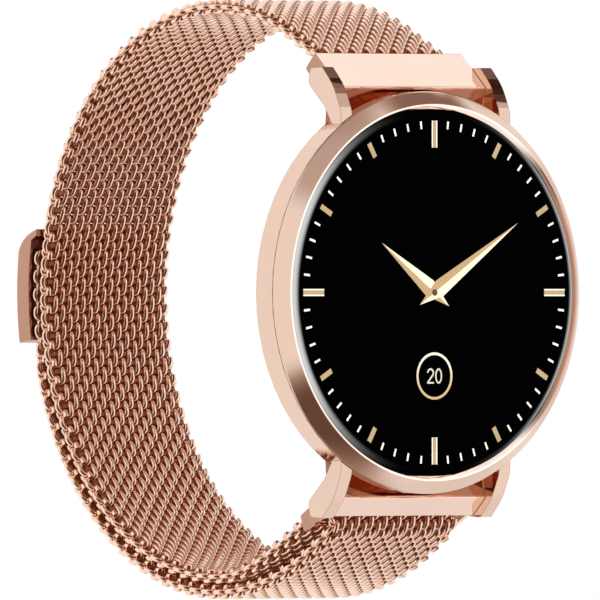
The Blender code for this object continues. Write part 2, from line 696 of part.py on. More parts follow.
top_axis = axis_empty("top_link_axis", 0, BAR_DEPTH, BAR_HEIGHT)
hang(build_top_link(), top_axis)
upper_axes = [top_axis]
for number, hinge_angle in enumerate(UPPER_HINGES, start=1):
    spot = on_ellipse(hinge_angle)
    upper_axes.append(axis_empty(f"strap_flex_{number}_axis", 0, spot.x, spot.y, upper_axes[-1]))
build_upper_strap(upper_axes)

bottom_axis = axis_empty("bottom_link_axis", 0, BAR_DEPTH, -BAR_HEIGHT)
hang(build_bottom_link(), bottom_axis)
build_lower_strap(bottom_axis)
tail_axes = []
for number, hinge_angle in enumerate(TAIL_HINGES, start=1):
    spot = on_ellipse(hinge_angle, LAYER_OFFSET)
    holder = tail_axes[-1] if tail_axes else bottom_axis
    tail_axes.append(axis_empty(f"tail_flex_{number}_axis", 0, spot.x, spot.y, holder))
build_tail(tail_axes)
build_clasp(tail_axes[-1])
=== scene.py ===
"""The smartwatch's looks: woven strap, polished case and links, black dial with its graphics.

Frame: +Z to 12 o'clock, +X to 3 o'clock, -Y out of the dial. Places come from the frame.
Lengths are in metres; the dial's graphics are drawn in millimetres, as their comments say.
"""

import json
import math

import bmesh
import bpy
import numpy as np
from mathutils import Matrix, Vector


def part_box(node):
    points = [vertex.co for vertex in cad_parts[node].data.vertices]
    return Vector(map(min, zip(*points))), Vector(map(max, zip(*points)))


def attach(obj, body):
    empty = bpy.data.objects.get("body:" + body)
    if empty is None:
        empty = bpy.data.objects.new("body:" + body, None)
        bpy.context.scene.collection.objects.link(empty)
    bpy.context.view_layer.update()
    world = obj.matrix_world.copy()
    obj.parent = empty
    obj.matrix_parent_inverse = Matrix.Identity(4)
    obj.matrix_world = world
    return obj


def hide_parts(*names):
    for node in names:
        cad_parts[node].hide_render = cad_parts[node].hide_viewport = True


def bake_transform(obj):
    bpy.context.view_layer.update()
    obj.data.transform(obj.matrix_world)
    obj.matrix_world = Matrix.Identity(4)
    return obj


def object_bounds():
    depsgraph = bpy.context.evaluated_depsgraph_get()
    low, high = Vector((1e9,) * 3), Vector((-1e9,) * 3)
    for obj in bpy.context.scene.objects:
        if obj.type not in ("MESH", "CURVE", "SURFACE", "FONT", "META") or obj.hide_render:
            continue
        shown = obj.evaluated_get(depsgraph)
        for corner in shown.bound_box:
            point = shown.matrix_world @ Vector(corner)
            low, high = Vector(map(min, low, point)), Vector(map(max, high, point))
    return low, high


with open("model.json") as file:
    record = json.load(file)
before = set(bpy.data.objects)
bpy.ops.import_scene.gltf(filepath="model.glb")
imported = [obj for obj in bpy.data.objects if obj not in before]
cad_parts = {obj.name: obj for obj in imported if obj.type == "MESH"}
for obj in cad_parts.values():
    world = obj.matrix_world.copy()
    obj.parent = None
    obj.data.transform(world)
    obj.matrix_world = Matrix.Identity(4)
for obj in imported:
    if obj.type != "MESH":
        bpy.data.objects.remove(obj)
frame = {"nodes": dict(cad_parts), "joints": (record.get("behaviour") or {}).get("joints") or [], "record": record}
cad_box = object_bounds()

MM = 0.001

# ---- sizes ----
WIRE_RADIUS = 0.275 * MM
PITCH = 1.90 * MM          # one turn of a coil, across the strap
ROW_PITCH = 0.963 * MM     # one coil to the next, along the strap
COIL_ALONG = 0.80 * MM     # half a coil's reach along the strap
COIL_THROUGH = 0.52 * MM   # half a coil's reach through the strap
COIL_LEAN = 0.9            # steepens the parts of a turn that cross the faces
COIL_SQUARE = 4.0          # 2 makes a turn an ellipse, more makes it squarer
COIL_TURNS = 8.5
COIL_SIDES = 8
COIL_STEPS = 16            # points in a turn
EDGE_X = 8.0 * MM          # where the coils end and the edge bends begin
EDGE_BULGE = 0.46 * MM     # a bend at the strap's edge stands out by this much
BEND_SWEEP = math.radians(115)
BEND_SPREAD = 1.38         # a bend's width along the strap, in rows
BEND_POINTS = 15
CORE_RADIUS = 0.42 * MM    # cross wires inside the coils
MESH_HALF = 0.66 * MM      # half the strap's thickness in the CAD
LINK_ANGLE = math.radians(43)
LAYER_OFFSET = 1.6 * MM    # the tail layer lies this far outside the main layer
CRIMPED_OFFSET = 1.17 * MM
FOLD_RADIUS = 1.4 * MM
UPPER_LEAD_ANGLE = 118.0
LOWER_LEAD_ANGLE = 93.0
TAIL_START = -118.0
BREAK_ANGLE = 2.0
TAIL_END = 8.2
CRIMP_START = -15.0        # here the tail begins to thin into the clasp, as an angle
CRIMP_STEPS = 60
CRIMP_FADE_STEPS = 12      # the first of those, over which it thins
FLATTEN_ANGLE = -12.5      # here its coils begin to be pressed flat
FLATTEN_LENGTH = 1.5 * MM
FLATTENED = 0.1            # what is left of a coil's thickness
TOP_STRAP_START = 4.25 * MM          # from the top link's pivot, along the link's plate
FOLD_BAR = (3.14 * MM, -2.5 * MM)    # the fold's bar from the bottom link's pivot
FOLD_START = 60            # the strap lies on the bar from this angle, for half a turn
FOLD_STEP = 6
# Pulls of the curves that join the strap's ellipse to the links, in depth and height.
TOP_PULLS = (np.array((1.3, 0.75)) * MM, np.array((-1.3, -0.73)) * MM)
FOLD_PULLS = (np.array((-4.6, 0.25)) * MM, np.array((4.35, -2.51)) * MM)
TAIL_PULLS = (np.array((1.3, -0.75)) * MM, np.array((-1.3, 0.73)) * MM)
FIRST_TAIL_REACH = 6 * MM  # the tail's first length begins this far before its hinge
BLEND_REACH = 2.0 * MM     # reach to each side of a hinge at which the weave's ends are worked out; no bend is made
STRAP_END_GAP = 0.55 * MM  # clear of the top link
TAIL_END_GAP = 0.5 * MM
ROUND_STEPS = 160          # facets round the bezel and the glass
BEZEL_SLOPE = 1.4 * MM     # width of the bezel's sloping face
BEZEL_SEAM = 0.10 * MM     # shadow line between bezel and case
GLASS_SEAM = 0.3 * MM
GLASS_RIM = 0.45 * MM
GLOW_START = 18.45 * MM    # the glass's painted rim glow, as distances from the dial's axis
GLOW_PEAK = 19.08 * MM
GLOW_END = 19.46 * MM
# Heights of the painted shade on the links' heels.
HEEL_SHADE_HEIGHTS = (16.0 * MM, 21.2 * MM)
# Place of the painted warm glow in the case's seats.
SEAT_HEIGHTS = (16.5 * MM, 20.4 * MM)
SEAT_HALF_WIDTH = 10.12 * MM
SEAT_DEPTHS = (1.0 * MM, 1.3 * MM, 2.9 * MM, 3.3 * MM)   # behind the case's rim
# Painted shade on the upper lugs' fronts begins at this height.
LUG_SHADE_HEIGHT = 20.7 * MM
LUG_SHADE_SLOPE = 0.088    # the painted shade's lower edge falls this much towards 3 o'clock
EDGE_LINE = 0.14 * MM      # width of the painted shade along the case's edges


# ---- places from the frame ----
def box_of(name):
    low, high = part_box(name)
    return Vector(low), Vector(high)


def joint_spot(name):
    for joint in frame["joints"]:
        if joint["name"] == name:
            return Vector(joint["pos_m"])
    raise KeyError(name)


bezel_low, bezel_high = box_of("bezel")
CASE_RADIUS = bezel_high.x
FRONT_Y = bezel_low.y
glass_low, glass_high = box_of("cover_glass")
GLASS_RADIUS = glass_high.x

strap_top = box_of("strap_upper_1")[1].z
strap_bottom = box_of("strap_lower")[0].z
strap_far = box_of("strap_lower")[1].y
LOOP_Z = (strap_top + strap_bottom) / 2
LOOP_B = (strap_top - strap_bottom) / 2 - MESH_HALF
first_flex = joint_spot("strap_flex_1")
flex_sine = (first_flex.z - LOOP_Z) / LOOP_B
flex_cosine = math.sqrt(1 - flex_sine**2)
LOOP_A = (strap_far - MESH_HALF - first_flex.y) / (1 - flex_cosine)
LOOP_Y = strap_far - MESH_HALF - LOOP_A


def on_ellipse(angle, offset=0.0):
    """(y, z) of a point outside the strap's main centre line by offset."""
    t = math.radians(angle)
    return np.array((LOOP_Y + (LOOP_A + offset) * math.cos(t),
                     LOOP_Z + (LOOP_B + offset) * math.sin(t)))


# ---- material nodes ----
def new_material(name):
    mat = bpy.data.materials.new(name)
    mat.use_nodes = True
    return mat, mat.node_tree.nodes, mat.node_tree.links


def texture_noise(nodes, links, scale, detail, stretch=(1, 1, 1)):
    coords = nodes.new("ShaderNodeTexCoord")
    mapping = nodes.new("ShaderNodeMapping")
    mapping.inputs["Scale"].default_value = stretch
    noise = nodes.new("ShaderNodeTexNoise")
    noise.inputs["Scale"].default_value = scale
    noise.inputs["Detail"].default_value = detail
    links.new(coords.outputs["Object"], mapping.inputs["Vector"])
    links.new(mapping.outputs["Vector"], noise.inputs["Vector"])
    return noise


def span(nodes, links, value, low, high):
    """Carry a 0.3 to 0.7 noise value to the range low to high."""
    ranged = nodes.new("ShaderNodeMapRange")
    ranged.inputs["From Min"].default_value = 0.3
    ranged.inputs["From Max"].default_value = 0.7
    ranged.inputs["To Min"].default_value = low
    ranged.inputs["To Max"].default_value = high
    links.new(value, ranged.inputs["Value"])
    return ranged.outputs["Result"]


def blend_colours(nodes, links, factor, first, second):
    mix = nodes.new("ShaderNodeMix")
    mix.data_type = "RGBA"
    mix.inputs["A"].default_value = (*first, 1)
    mix.inputs["B"].default_value = (*second, 1)
    links.new(factor, mix.inputs["Factor"])
    return mix.outputs["Result"]


def bump(nodes, links, height, strength, distance):
    node = nodes.new("ShaderNodeBump")
    node.inputs["Strength"].default_value = strength
    node.inputs["Distance"].default_value = distance
    links.new(height, node.inputs["Height"])
    return node.outputs["Normal"]


def surface(name, light, dark, rough, metallic=0.0, scale=900, stretch=(1, 1, 1), relief=0.05,
            colour_scale=120, coat=0.0, specular=0.5):
    """A finish whose colour, roughness and bump vary with noise; rough is (lowest, highest)."""
    mat, nodes, links = new_material(name)
    shader = nodes["Principled BSDF"]
    broad = texture_noise(nodes, links, colour_scale, 3.0)
    fine = texture_noise(nodes, links, scale, 4.0, stretch)
    tone = span(nodes, links, broad.outputs["Fac"], 0.0, 1.0)
    links.new(blend_colours(nodes, links, tone, dark, light), shader.inputs["Base Color"])
    links.new(span(nodes, links, fine.outputs["Fac"], *rough), shader.inputs["Roughness"])
    links.new(bump(nodes, links, fine.outputs["Fac"], relief, 0.00002), shader.inputs["Normal"])
    shader.inputs["Metallic"].default_value = metallic
    shader.inputs["Coat Weight"].default_value = coat
    shader.inputs["Specular IOR Level"].default_value = specular
    return mat


POLISHED = surface("rose_polish", (0.85, 0.62, 0.50), (0.82, 0.59, 0.47), (0.03, 0.09), 1.0,
                   scale=1500, relief=0.02)
LINK_POLISH = surface("link_polish_painted_light", (0.96, 0.71, 0.59), (0.93, 0.68, 0.56), (0.05, 0.12), 1.0,
                      scale=1500, relief=0.02)
BRUSHED = surface("rose_brushed", (0.60, 0.33, 0.24), (0.52, 0.28, 0.19), (0.26, 0.42), 1.0,
                  scale=700, stretch=(0.04, 1, 1), relief=0.35, colour_scale=60)


def tone_by(mat, factor, shade):
    """Multiply a finish's colour by shade where the factor is 1."""
    nodes = mat.node_tree.nodes
    links = mat.node_tree.links
    colour = nodes["Principled BSDF"].inputs["Base Color"]
    source = colour.links[0].from_socket
    mix = nodes.new("ShaderNodeMix")
    mix.data_type = "RGBA"
    mix.blend_type = "MULTIPLY"
    mix.inputs["B"].default_value = (*shade, 1)
    links.new(factor, mix.inputs["Factor"])
    links.new(source, mix.inputs["A"])
    links.new(mix.outputs["Result"], colour)


def add_painted_light(mat, factor, colour):
    """Painted light: add an emitted colour to a finish where the factor is 1."""
    nodes = mat.node_tree.nodes
    links = mat.node_tree.links
    shader = nodes["Principled BSDF"]
    links.new(blend_colours(nodes, links, factor, (0, 0, 0), colour), shader.inputs["Emission Color"])
    shader.inputs["Emission Strength"].default_value = 1.0


def ramp(mat, value, low, high):
    """0 below low, 1 above high, smooth between; low may be the larger."""
    node = mat.node_tree.nodes.new("ShaderNodeMapRange")
    node.interpolation_type = "SMOOTHSTEP"
    node.inputs["From Min"].default_value = low
    node.inputs["From Max"].default_value = high
    mat.node_tree.links.new(value, node.inputs["Value"])
    return node.outputs["Result"]


def product(mat, *factors):
    """The factors multiplied together."""
    result = factors[0]
    for factor in factors[1:]:
        node = mat.node_tree.nodes.new("ShaderNodeMath")
        node.operation = "MULTIPLY"
        mat.node_tree.links.new(result, node.inputs[0])
        mat.node_tree.links.new(factor, node.inputs[1])
        result = node.outputs["Value"]
    return result


def component(mat, kind, axis, absolute=False):
    """x, y or z of the surface's place (Object) or direction (Normal)."""
    nodes = mat.node_tree.nodes
    links = mat.node_tree.links
    coords = nodes.new("ShaderNodeTexCoord")
    split = nodes.new("ShaderNodeSeparateXYZ")
    links.new(coords.outputs[kind], split.inputs["Vector"])
    if not absolute:
        return split.outputs[axis]
    size = nodes.new("ShaderNodeMath")
    size.operation = "ABSOLUTE"
    links.new(split.outputs[axis], size.inputs[0])
    return size.outputs["Value"]


def place_band(mat, axis, low, high):
    """1 where the surface's distance from the middle along an axis is between low and high."""
    spot = component(mat, "Object", axis, absolute=True)
    soft = 0.05 * MM
    above = ramp(mat, spot, low - soft, low + soft)
    below = ramp(mat, spot, high + soft, high - soft)
    return product(mat, above, below)


def dial_radius(mat):
    """Distance of the surface from the dial's axis."""
    nodes = mat.node_tree.nodes
    links = mat.node_tree.links
    coords = nodes.new("ShaderNodeTexCoord")
    flat = nodes.new("ShaderNodeVectorMath")
    flat.operation = "MULTIPLY"
    flat.inputs[1].default_value = (1, 0, 1)
    links.new(coords.outputs["Object"], flat.inputs[0])
    radius = nodes.new("ShaderNodeVectorMath")
    radius.operation = "LENGTH"
    links.new(flat.outputs["Vector"], radius.inputs[0])
    return radius.outputs["Value"]


def near_edge(mat, radius):
    """1 along sharp edges, 0 on open surfaces."""
    nodes = mat.node_tree.nodes
    links = mat.node_tree.links
    rounded = nodes.new("ShaderNodeBevel")
    rounded.inputs["Radius"].default_value = radius
    true = nodes.new("ShaderNodeNewGeometry")
    dot = nodes.new("ShaderNodeVectorMath")
    dot.operation = "DOT_PRODUCT"
    links.new(rounded.outputs["Normal"], dot.inputs[0])
    links.new(true.outputs["Normal"], dot.inputs[1])
    return ramp(mat, dot.outputs["Value"], 0.985, 0.93)


WIRE_FINISH = surface("wire_rose_painted_light", (1.0, 0.74, 0.60), (0.97, 0.68, 0.53), (0.06, 0.13), 1.0,
                      scale=2500, relief=0.08, colour_scale=250)
# Painted shade: the cross wires are coloured dark brown for the shade between the coils, though they are the same
# metal as the coils.
CORE_PAINTED_SHADE = surface("core_painted_shade", (0.30, 0.11, 0.06), (0.20, 0.07, 0.035), (0.25, 0.4), 1.0,
                      scale=2500, relief=0.08, colour_scale=250)


def paint_wire_shade_and_glow():
    """Painted shade: a round wire gets a dark core between bright flanks, darkest where it faces the viewer;
    painted light: a faint warm emitted glow deep in the weave.
    """
    facing = WIRE_FINISH.node_tree.nodes.new("ShaderNodeLayerWeight")
    facing.inputs["Blend"].default_value = 0.5
    # Painted shade: the wire's middle, where it faces the viewer, is darkened into a dark core.
    core = ramp(WIRE_FINISH, facing.outputs["Facing"], 0.14, 0.03)
    tone_by(WIRE_FINISH, core, (0.10, 0.05, 0.035))
    # Painted light: a faint warm emitted glow on the coils and on the cross wires.
    for finish, warmth in ((WIRE_FINISH, (0.011, 0.0027, 0.001)),
                           (CORE_PAINTED_SHADE, (0.030, 0.007, 0.0025))):
        shader = finish.node_tree.nodes["Principled BSDF"]
        shader.inputs["Emission Color"].default_value = (*warmth, 1)
        shader.inputs["Emission Strength"].default_value = 1.0


def paint_link_shade_and_light():
    """Painted shade and painted light: the links' side faces are darkened and given an emitted glow, and their
    heels get painted shade.
    """
    # Painted shade and painted light on the side faces: darkened, then lit by an emitted glow.
    sideways = ramp(LINK_POLISH, component(LINK_POLISH, "Normal", "X", absolute=True), 0.75, 0.9)
    tone_by(LINK_POLISH, sideways, (0.30, 0.23, 0.21))
    add_painted_light(LINK_POLISH, sideways, (0.25, 0.13, 0.09))
    # Painted shade on the links' heels.
    heel = place_band(LINK_POLISH, "Z", *HEEL_SHADE_HEIGHTS)
    tone_by(LINK_POLISH, heel, (0.42, 0.24, 0.17))


def polish_case_with_painted_light():
    """The polish with painted shade on the upper lugs' fronts and along the edges, and painted warm light in the
    seats.
    """
    mat = POLISHED.copy()
    mat.name = "case_polish_painted_light"
    links = mat.node_tree.links
    # Painted shade on the upper lugs' fronts.
    slant = mat.node_tree.nodes.new("ShaderNodeMath")
    slant.operation = "MULTIPLY_ADD"
    slant.inputs[1].default_value = LUG_SHADE_SLOPE
    links.new(component(mat, "Object", "X"), slant.inputs[0])
    links.new(component(mat, "Object", "Z"), slant.inputs[2])
    high = ramp(mat, slant.outputs["Value"], LUG_SHADE_HEIGHT, LUG_SHADE_HEIGHT + 0.25 * MM)
    frontal = ramp(mat, component(mat, "Normal", "X", absolute=True), 0.6, 0.3)
    tone_by(mat, product(mat, high, frontal), (0.16, 0.09, 0.07))
    # Painted shade along the case's edges.
    tone_by(mat, near_edge(mat, EDGE_LINE), (0.42, 0.28, 0.22))
    rim_y = box_of("mid_case")[0].y
    depth = component(mat, "Object", "Y")
    start, full, fading, end = (rim_y + step for step in SEAT_DEPTHS)
    seat = product(mat, place_band(mat, "X", -1.0 * MM, SEAT_HALF_WIDTH),
                   place_band(mat, "Z", *SEAT_HEIGHTS),
                   ramp(mat, depth, start, full), ramp(mat, depth, end, fading))
    # Painted light: a warm emitted glow in the seats behind the case's rim.
    add_painted_light(mat, seat, (0.22, 0.065, 0.024))
    return mat


paint_wire_shade_and_glow()
paint_link_shade_and_light()
CASE_POLISH = polish_case_with_painted_light()
GLASS_BLACK = surface("dial_glass_black", (0.0012, 0.001, 0.001), (0.0006, 0.0006, 0.0006),
                      (0.02, 0.06), 0.0, scale=2000, relief=0.0, specular=0.0)
RUBBER = surface("seal_rubber", (0.03, 0.03, 0.03), (0.015, 0.015, 0.015), (0.6, 0.8))
PLASTIC = surface("carrier_plastic", (0.05, 0.05, 0.055), (0.03, 0.03, 0.03), (0.4, 0.55))
STEEL = surface("plain_steel", (0.74, 0.74, 0.76), (0.62, 0.62, 0.64), (0.22, 0.38), 1.0,
                stretch=(1, 1, 0.1), relief=0.15)
GOLD = surface("contact_gold", (0.95, 0.75, 0.35), (0.85, 0.62, 0.25), (0.12, 0.25), 1.0)
POUCH = surface("cell_pouch", (0.66, 0.67, 0.69), (0.52, 0.53, 0.55), (0.3, 0.5), 0.8, relief=0.2)
AMBER = surface("amber_film", (0.62, 0.32, 0.06), (0.48, 0.22, 0.03), (0.25, 0.4))
BOARD = surface("board_green", (0.02, 0.17, 0.08), (0.01, 0.10, 0.05), (0.35, 0.5), relief=0.1)
LENS = surface("led_lens", (0.20, 0.72, 0.30), (0.12, 0.55, 0.20), (0.1, 0.2), coat=0.5)
SILICON = surface("diode_silicon", (0.06, 0.06, 0.10), (0.03, 0.03, 0.06), (0.15, 0.3))
BACK_GLASS = surface("back_glass", (0.012, 0.012, 0.016), (0.006, 0.006, 0.008), (0.03, 0.08),
                     specular=0.5, coat=0.6)

SLOT_FINISH = {
    "polished_case": POLISHED, "polished_link": LINK_POLISH, "brushed_rose": BRUSHED,
    "woven_mesh": WIRE_FINISH, "dial_glass": GLASS_BLACK, "dark_lens": BACK_GLASS,
    "display": GLASS_BLACK, "seal_rubber": RUBBER, "black_plastic": PLASTIC,
    "cell_pouch": POUCH, "amber_film": AMBER, "circuit_board": BOARD, "led_lens": LENS,
    "silicon": SILICON, "plain_steel": STEEL, "contact_gold": GOLD,
}


def glowing(name, light, dark, strength=0.55, scale=500):
    """A lit area of the display: its colour shows without needing light, with a faint grain."""
    mat, nodes, links = new_material(name)
    shader = nodes["Principled BSDF"]
    grain = texture_noise(nodes, links, scale, 2.0)
    tone = span(nodes, links, grain.outputs["Fac"], 0.0, 1.0)
    colour = blend_colours(nodes, links, tone, dark, light)
    links.new(colour, shader.inputs["Base Color"])
    links.new(colour, shader.inputs["Emission Color"])
    links.new(span(nodes, links, grain.outputs["Fac"], 0.35, 0.5), shader.inputs["Roughness"])
    shader.inputs["Emission Strength"].default_value = strength
    return mat


# ---- dress the CAD nodes ----
def dress_node(node, obj):
    """Give a CAD node its slot's finish and smooth shading with crisp edges."""
    obj.data.materials.clear()
    obj.data.materials.append(CASE_POLISH if node == "mid_case" else SLOT_FINISH[slot_of[node]])
    obj.data.shade_smooth()
    obj.data.set_sharp_from_angle(angle=math.radians(28))


slot_of = {}
for part in frame["record"]["subparts"]:
    slot_of[part["node"]] = part["material_slot"]
for node, obj in frame["nodes"].items():
    dress_node(node, obj)


# ---- mesh helpers ----
def add_piece(name, mesh, finish, body, smooth=28):
    mesh.materials.append(finish)
    mesh.shade_smooth()
    mesh.set_sharp_from_angle(angle=math.radians(smooth))
    obj = bpy.data.objects.new(name, mesh)
    bpy.context.scene.collection.objects.link(obj)
    if body:
        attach(obj, body)
    return obj


def turned_mesh(name, profile, closed):
    """Spin a profile of (radius, y) points round the dial's axis."""
    angles = np.arange(ROUND_STEPS) * 2 * math.pi / ROUND_STEPS
    bm = bmesh.new()
    rings = []
    for radius, y in profile:
        if radius == 0:
            rings.append([bm.verts.new((0, y, 0))] * ROUND_STEPS)
        else:
            rings.append([bm.verts.new((radius * math.cos(a), y, radius * math.sin(a)))
                          for a in angles])
    pairs = list(zip(rings, rings[1:]))
    if closed:
        pairs.append((rings[-1], rings[0]))
    for first, second in pairs:
        for i in range(ROUND_STEPS):
            k = (i + 1) % ROUND_STEPS
            corners = [first[i], first[k], second[k], second[i]]
            bm.faces.new(list(dict.fromkeys(corners)))
    bmesh.ops.recalc_face_normals(bm, faces=bm.faces)
    mesh = bpy.data.meshes.new(name)
    bm.to_mesh(mesh)
    bm.free()
    return mesh


def plate_mesh(name, outlines, front, back):
    """Flat plates with (x, z) outlines, from y front to y back."""
    bm = bmesh.new()
    for outline in outlines:
        face = bm.faces.new([bm.verts.new((x, back, z)) for x, z in outline])
        made = bmesh.ops.extrude_face_region(bm, geom=[face])["geom"]
        moved = [v for v in made if isinstance(v, bmesh.types.BMVert)]
        bmesh.ops.translate(bm, verts=moved, vec=(0, front - back, 0))
    bmesh.ops.recalc_face_normals(bm, faces=bm.faces)
    mesh = bpy.data.meshes.new(name)
    bm.to_mesh(mesh)
    bm.free()
    return mesh


# ---- bezel and glass ----
def arc_profile(centre, radius, start, end, count):
    """(radius, y) points on an arc; angle 0 points outwards and 90 towards the back."""
    points = []
    for i in range(count + 1):
        a = math.radians(start + (end - start) * i / count)
        points.append((centre[0] + radius * math.cos(a), centre[1] + radius * math.sin(a)))
    return points


def polish_bezel_with_painted_light(lip):
    """The polish with a painted highlight on its lip, and painted shade towards 3 o'clock."""
    mat = POLISHED.copy()
    mat.name = "bezel_polish_painted_light"
    sideways = component(mat, "Object", "X")
    # Painted shade towards 3 o'clock.
    tone_by(mat, ramp(mat, sideways, 13.0 * MM, 17.0 * MM), (0.80, 0.60, 0.52))
    # Painted highlight: an emitted glow along the lip, away from 3 o'clock.
    at_lip = ramp(mat, dial_radius(mat), lip + 0.10 * MM, lip - 0.02 * MM)
    bright_part = ramp(mat, sideways, 15.0 * MM, 11.0 * MM)
    add_painted_light(mat, product(mat, at_lip, bright_part), (0.92, 0.80, 0.72))
    return mat


def build_bezel():
    """A ring with a sloping face, softened at its lip and at its outer edge."""
    lip = CASE_RADIUS - BEZEL_SLOPE
    inner = GLASS_RADIUS + GLASS_SEAM
    back = box_of("mid_case")[0].y - BEZEL_SEAM
    profile = [(inner, back), (inner, FRONT_Y + 0.1 * MM), (lip - 0.06 * MM, FRONT_Y),
               (lip, FRONT_Y + 0.02 * MM), (lip + 0.06 * MM, FRONT_Y + 0.06 * MM),
               (CASE_RADIUS - 0.14 * MM, back - 0.13 * MM),
               (CASE_RADIUS - 0.04 * MM, back - 0.05 * MM), (CASE_RADIUS, back + 0.02 * MM)]
    mesh = turned_mesh("bezel_ring", profile, closed=True)
    finish = polish_bezel_with_painted_light(lip)
    piece = add_piece("bezel_ring", mesh, finish, "case", smooth=30)
    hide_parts("bezel")


def black_glass_with_painted_rim_glow():
    """Black glass with a painted reflection of the studio's sides on its rounded rim, as an emitted glow."""
    mat = GLASS_BLACK.copy()
    mat.name = "dial_glass_painted_rim_glow"
    reach = dial_radius(mat)
    rising = ramp(mat, reach, GLOW_START, GLOW_PEAK)
    falling = ramp(mat, reach, GLOW_END, GLOW_PEAK)
    sides = ramp(mat, component(mat, "Object", "Z", absolute=True), 18.6 * MM, 8.0 * MM)
    # Painted reflection: a pale emitted glow on the rim at the left and right.
    add_painted_light(mat, product(mat, rising, falling, sides), (0.66, 0.66, 0.65))
    return mat


def build_glass():
    """The cover glass: flat over the display, with a rounded rim."""
    front = glass_low.y
    back = glass_high.y
    profile = [(0, back), (GLASS_RADIUS, back)]
    profile += arc_profile((GLASS_RADIUS - GLASS_RIM, front + GLASS_RIM), GLASS_RIM, 0, -90, 8)
    profile.append((0, front))
    mesh = turned_mesh("glass_face", profile, closed=False)
    piece = add_piece("glass_face", mesh, black_glass_with_painted_rim_glow(), "case", smooth=40)
    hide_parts("cover_glass")


# ---- dial graphics ----
GRAPHIC_BACK = glass_low.y + 0.01 * MM
LAYER_STEP = 0.012 * MM
WHITE = glowing("graphic_white", (0.95, 0.93, 0.88), (0.80, 0.77, 0.70))
CREAM = glowing("graphic_cream", (0.93, 0.86, 0.64), (0.84, 0.76, 0.53))
TAN = glowing("graphic_tan", (0.52, 0.36, 0.18), (0.46, 0.31, 0.15), 0.5)
GOLDEN = glowing("graphic_gold", (0.50, 0.37, 0.19), (0.43, 0.31, 0.15), 0.5)
PIVOT_BROWN = glowing("graphic_brown", (0.11, 0.06, 0.02), (0.08, 0.045, 0.012), 0.3)
DIGIT_TONE = glowing("graphic_digits", (0.70, 0.66, 0.52), (0.62, 0.58, 0.45))
RING_TONE = glowing("graphic_ring", (0.86, 0.84, 0.68), (0.78, 0.75, 0.58))


def tint_down(mat, high, low, shade):
    """Warm a display colour from height high to height low."""
    tone_by(mat, ramp(mat, component(mat, "Object", "Z"), high, low), shade)
    nodes = mat.node_tree.nodes
    colour = nodes["Principled BSDF"].inputs["Base Color"].links[0].from_socket
    mat.node_tree.links.new(colour, nodes["Principled BSDF"].inputs["Emission Color"])


tint_down(RING_TONE, -6.4 * MM, -11.0 * MM, (0.72, 0.48, 0.32))


def turned_clockwise(points, degrees):
    """Points drawn about 12 o'clock, carried clockwise as the dial is read."""
    a = math.radians(degrees)
    return [(x * math.cos(a) + z * math.sin(a), z * math.cos(a) - x * math.sin(a))
            for x, z in points]


def bar(low, high, width, offset=0.0):
    """A rectangle from radius low to high, in millimetres, as metres."""
    return [((offset + side * width / 2) * MM, radius * MM)
            for side, radius in ((-1, low), (1, low), (1, high), (-1, high))]


def graphic(name, outlines, finish, layer=1):
    front = GRAPHIC_BACK - layer * LAYER_STEP
    mesh = plate_mesh(name, outlines, front, GRAPHIC_BACK)
    return add_piece(name, mesh, finish, "case")


# Inner radius, outer radius and width of the marks, in millimetres.
MINUTE_MARK = (17.12, 17.93, 0.23)
HOUR_BAR = (16.25, 17.92, 0.56)
QUARTER_BAR = (15.10, 17.92, 0.74)
QUARTER_EDGE = 0.14        # width of a quarter bar's bright long edges


def build_marks():
    minutes = [turned_clockwise(bar(*MINUTE_MARK), 6 * i) for i in range(60) if i % 5]
    graphic("minute_marks", minutes, WHITE)
    hours = [turned_clockwise(bar(*HOUR_BAR), 30 * i) for i in range(12) if i % 3]
    graphic("hour_bars", hours, GOLDEN)
    quarters = [turned_clockwise(bar(*QUARTER_BAR), 90 * i) for i in range(4)]
    graphic("quarter_bars", quarters, GOLDEN)
    edges = []
    low, high, width = QUARTER_BAR
    for i in range(4):
        for side in (-1, 1):
            edge = bar(low, high, QUARTER_EDGE, side * (width - QUARTER_EDGE) / 2)
            edges.append(turned_clockwise(edge, 90 * i))
    graphic("quarter_edges", edges, WHITE, layer=2)


def ring_mesh(name, outer, inner, centre, front, back, count=72):
    bm = bmesh.new()
    loops = []
    for radius, y in ((inner, back), (inner, front), (outer, front), (outer, back)):
        loops.append([bm.verts.new((centre[0] + radius * math.sin(2 * math.pi * i / count), y,
                                    centre[1] + radius * math.cos(2 * math.pi * i / count)))
                      for i in range(count)])
    for k, loop in enumerate(loops):
        other = loops[(k + 1) % 4]
        for i in range(count):
            j = (i + 1) % count
            bm.faces.new((loop[i], loop[j], other[j], other[i]))
    bmesh.ops.recalc_face_normals(bm, faces=bm.faces)
    mesh = bpy.data.meshes.new(name)
    bm.to_mesh(mesh)
    bm.free()
    return mesh


DATE_CENTRE = (0.0, -8.70 * MM)
DATE_RING = (2.46 * MM, 2.19 * MM)       # outer and inner radius
DIGIT_HEIGHT = 1.60        # the numerals' sizes are in millimetres
DIGIT_WIDTH = 0.94
DIGIT_STROKE = 0.175
DIGIT_LEFTS = (-1.02, 0.09)
HOOK_START = 170           # the hook of the 2, in degrees
HOOK_SWEEP = 210
HOOK_STEPS = 12
LOOP_STEPS = 16            # points in half a nought


def stroke(points, width, centre):
    """A ribbon with round ends along (x, z) points in millimetres."""
    line = [Vector(p) for p in points]
    left = []
    right = []
    for i, here in enumerate(line):
        before = line[max(i - 1, 0)]
        after = line[min(i + 1, len(line) - 1)]
        along = (after - before).normalized()
        side = Vector((-along.y, along.x)) * width / 2
        left.append(here + side)
        right.append(here - side)
    cap_end = round_cap(line[-1], left[-1] - line[-1])
    cap_start = round_cap(line[0], right[0] - line[0])
    outline = left + cap_end + right[::-1] + cap_start
    return [(centre[0] + p.x * MM, centre[1] + p.y * MM) for p in outline]


